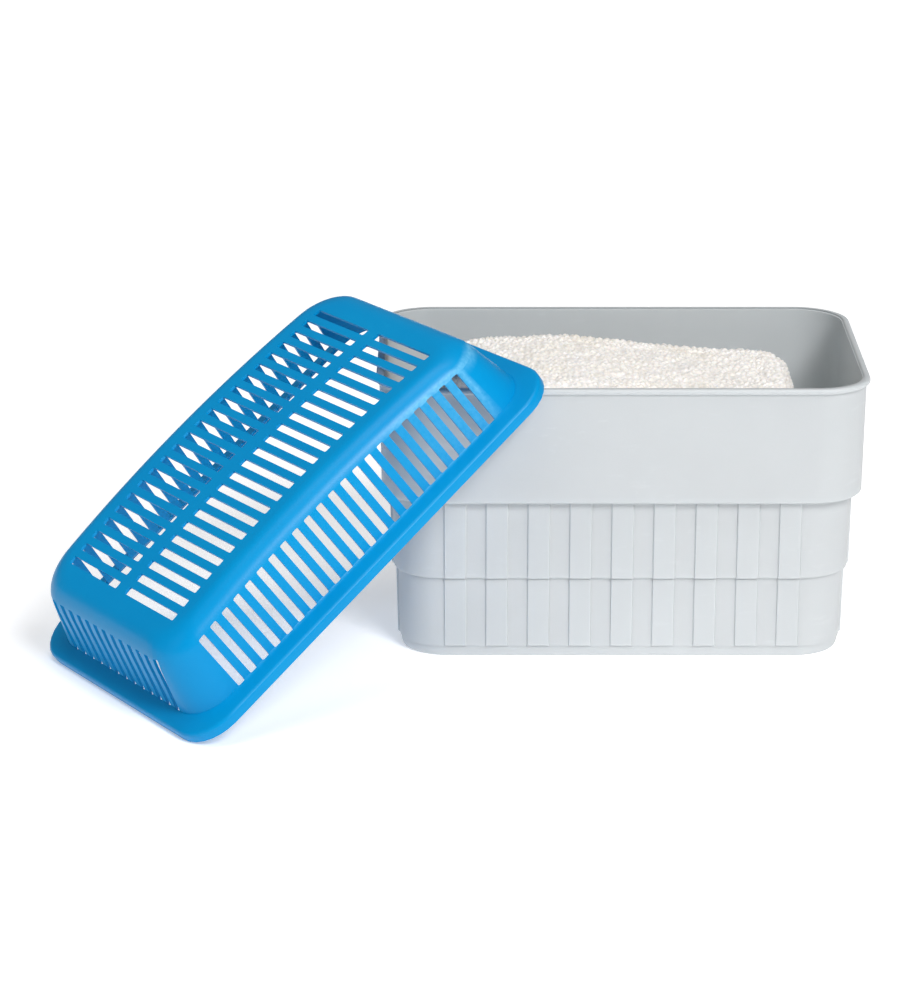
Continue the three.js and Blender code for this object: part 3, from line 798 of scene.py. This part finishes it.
# %% Helpers for the finishes
def colour(red, green, blue):
    """Light values of a colour given as it looks on a screen: ((c + 0.055) / 1.055) to the power 2.4, or
    c over 12.92 where c is small."""
    c = np.array([red, green, blue]) / 255
    linear = np.where(c > 0.04045, ((c + 0.055) / 1.055) ** 2.4, c / 12.92)
    return (*linear.tolist(), 1.0)


def finish(name):
    """A new material with its Principled shader and its Object coordinates."""
    material = bpy.data.materials.new(name)
    material.use_nodes = True
    tree = material.node_tree
    place = tree.nodes.new("ShaderNodeTexCoord").outputs["Object"]
    return material, tree, tree.nodes["Principled BSDF"], place


def placed(tree, shared, place, **settings):
    """Puts a shared group into a material, fed with the place and its own values."""
    made = tree.nodes.new("ShaderNodeGroup")
    made.node_tree = shared
    tree.links.new(place, made.inputs["Vector"])
    for key, number in settings.items():
        made.inputs[key].default_value = number
    return made.outputs[0]


def blend(tree, mask, first, second):
    """A colour between two, chosen by a mask; each may be a plain colour or another node's output."""
    mix = node(tree, "ShaderNodeMix", data_type="RGBA")
    tree.links.new(mask, mix.inputs["Factor"])
    for socket, given in ((mix.inputs[6], first), (mix.inputs[7], second)):
        if isinstance(given, tuple):
            socket.default_value = given
        else:
            tree.links.new(given, socket)
    return mix.outputs[2]


def bumped(tree, shader, height, strength, distance):
    """Feeds a height into the shader's normal through a bump."""
    bump = node(tree, "ShaderNodeBump", Strength=strength, Distance=distance)
    tree.links.new(height, bump.inputs["Height"])
    tree.links.new(bump.outputs["Normal"], shader.inputs["Normal"])


def plastic(name, deep, pale, worn, gloss, dull, scale, scuffing, shine, highlight_paint=None):
    """A moulded plastic: clouded between two colours, scuffed towards a third, with an orange-peel skin. The
    last argument is the colour of a painted highlight, laid where the piece's attribute says."""
    material, tree, shader, place = finish(name)
    clouds = placed(tree, clouds_group, place, Scale=scale)
    scuffs = placed(tree, scuffs_group, place, Amount=scuffing)
    skin = blend(tree, scuffs, blend(tree, clouds, deep, pale), worn)
    if highlight_paint:
        # A painted highlight: the pale colour goes where the piece's attribute says, broken up by fine
        # clouds.
        laid = tree.nodes.new("ShaderNodeAttribute")
        laid.attribute_name = "painted_highlight"
        patchy = node(tree, "ShaderNodeMath", operation="MULTIPLY")
        tree.links.new(laid.outputs["Fac"], patchy.inputs[0])
        tree.links.new(rescale(tree, placed(tree, clouds_group, place, Scale=420.0), 0, 1, 0.35, 0.85),
                       patchy.inputs[1])
        skin = blend(tree, patchy.outputs[0], skin, highlight_paint)
    tree.links.new(skin, shader.inputs["Base Color"])
    rough = node(tree, "ShaderNodeMath", operation="MULTIPLY_ADD")
    tree.links.new(scuffs, rough.inputs[0])
    rough.inputs[1].default_value = 0.35
    tree.links.new(rescale(tree, clouds, 0, 1, gloss, dull), rough.inputs[2])
    tree.links.new(rough.outputs[0], shader.inputs["Roughness"])
    shader.inputs["Specular IOR Level"].default_value = shine
    bumped(tree, shader, placed(tree, skin_group, place, Scale=850.0), 0.25, 0.00012)
    return material, shader


# %% Finish the tub and the basket
grey_plastic, milky_shader = plastic("milky_grey_plastic", colour(194, 198, 200), colour(199, 203, 205),
                          colour(222, 227, 229), 0.42, 0.50, 9.0, 0.2, 0.4)
# The last colour given to the blue plastic is a painted pale highlight.
blue_plastic, _ = plastic("glossy_blue_plastic", colour(0, 140, 202), colour(0, 147, 207),
                          colour(30, 162, 216), 0.28, 0.36, 14.0, 0.3, 0.16, colour(130, 205, 238))
milky_shader.inputs["Subsurface Weight"].default_value = 0.35
milky_shader.inputs["Subsurface Radius"].default_value = (0.9, 1.0, 1.0)
milky_shader.inputs["Subsurface Scale"].default_value = 0.008
whey_tub.data.materials.append(grey_plastic)
blue_basket.data.materials.append(blue_plastic)

# %% Finish the curd
fresh_curd, tree, shader, place = finish("fresh_curd")
cells = node(tree, "ShaderNodeTexVoronoi", Scale=320.0)
tree.links.new(place, cells.inputs["Vector"])
warm = placed(tree, clouds_group, place, Scale=22.0)
spotted = node(tree, "ShaderNodeSeparateColor")
tree.links.new(cells.outputs["Color"], spotted.inputs["Color"])
body = blend(tree, spotted.outputs["Red"], colour(236, 231, 225), colour(247, 243, 239))
tree.links.new(blend(tree, rescale(tree, warm, 0.5, 1.0, 0.0, 0.4), body, colour(235, 226, 210)),
               shader.inputs["Base Color"])
tree.links.new(rescale(tree, spotted.outputs["Green"], 0, 1, 0.38, 0.62), shader.inputs["Roughness"])
shader.inputs["Subsurface Weight"].default_value = 0.25
shader.inputs["Subsurface Radius"].default_value = (1.0, 0.8, 0.6)
shader.inputs["Subsurface Scale"].default_value = 0.004
bumped(tree, shader, cells.outputs["Distance"], 0.35, 0.0006)
curd_loaf.data.materials.append(fresh_curd)
print("finishes:", [m.name for m in (grey_plastic, blue_plastic, fresh_curd)])

# %% [markdown]
# ## Tie the pieces to the frame
# Each new piece hides the plain solid it stands for and moves with that solid's body. The plain solids stay
# in the model for collision.

# %% Ride and replace
for piece, body, stands_for, slot in (
    (whey_tub, "tub", "tub", "tub_plastic"),
    (blue_basket, "basket", "draining_basket", "basket_plastic"),
    (curd_loaf, "tub", "curd_block", "curd"),
):
    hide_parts(stands_for)
    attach(piece, body)
    print(piece.name, "rides on", body)

# %% [markdown]
# ## Floor, light and camera
# A plain pale floor fills the view, and large soft lights make the broad highlights of a packshot: one from
# the front right, so that faces turned to the left go darker, one from above and a weak one from the left.
# A fourth hangs over the far floor, turned away from the mold, so that the background stays even.

# %% The floor
floor_mesh = bpy.data.meshes.new("floor")
FLOOR_HALF = 5.0
corners = [(-FLOOR_HALF, -FLOOR_HALF, 0), (FLOOR_HALF, -FLOOR_HALF, 0),
           (FLOOR_HALF, FLOOR_HALF, 0), (-FLOOR_HALF, FLOOR_HALF, 0)]
floor_mesh.from_pydata(corners, [], [(0, 1, 2, 3)])
studio_floor = bpy.data.objects.new("floor", floor_mesh)
bpy.context.scene.collection.objects.link(studio_floor)
pale, _, pale_shader, _ = finish("pale_floor")
pale_shader.inputs["Base Color"].default_value = colour(245, 245, 246)
pale_shader.inputs["Roughness"].default_value = 0.8
pale_shader.inputs["Emission Color"].default_value = (1, 1, 1, 1)
pale_shader.inputs["Emission Strength"].default_value = 0.38
floor_mesh.materials.append(pale)

# %% The lights
def soft_light(name, place, aim, size, power, spread=180):
    """A square area light at place, turned to face aim. spread is the angle of its beam in degrees."""
    lamp = bpy.data.lights.new(name, "AREA")
    lamp.size = size
    lamp.energy = power
    lamp.spread = math.radians(spread)
    made = bpy.data.objects.new(name, lamp)
    made.location = place
    direction = made.location.__class__(aim) - made.location
    made.rotation_euler = direction.to_track_quat("-Z", "Y").to_euler()
    bpy.context.scene.collection.objects.link(made)


soft_light("key_front_right", (1.7, -3.5, 3.3), (-0.05, 0, 0.08), 1.6, 190)
soft_light("top", (-0.6, -0.9, 4.8), (-0.05, 0, 0), 2.6, 80)
soft_light("fill_left", (-4.4, -2.6, 2.0), (-0.1, 0, 0.08), 2.6, 10)
soft_light("far_floor", (0, 3.4, 1.8), (0, 3.4, 0), 2.6, 45, spread=100)
world = bpy.data.worlds.new("studio")
world.use_nodes = True
world.node_tree.nodes["Background"].inputs["Color"].default_value = (1, 1, 1, 1)
world.node_tree.nodes["Background"].inputs["Strength"].default_value = 0.13
bpy.context.scene.world = world
bpy.context.scene.view_settings.view_transform = "Standard"

# %% The camera
camera_data = bpy.data.cameras.new("camera")
camera_data.lens = 131.82
camera_data.sensor_width = 36
camera = bpy.data.objects.new("camera", camera_data)
camera.location = (-0.0880, -1.9824, 0.7066)
camera.rotation_euler = (math.radians(90 - 17.884), 0, 0)
bpy.context.scene.collection.objects.link(camera)
bpy.context.scene.camera = camera
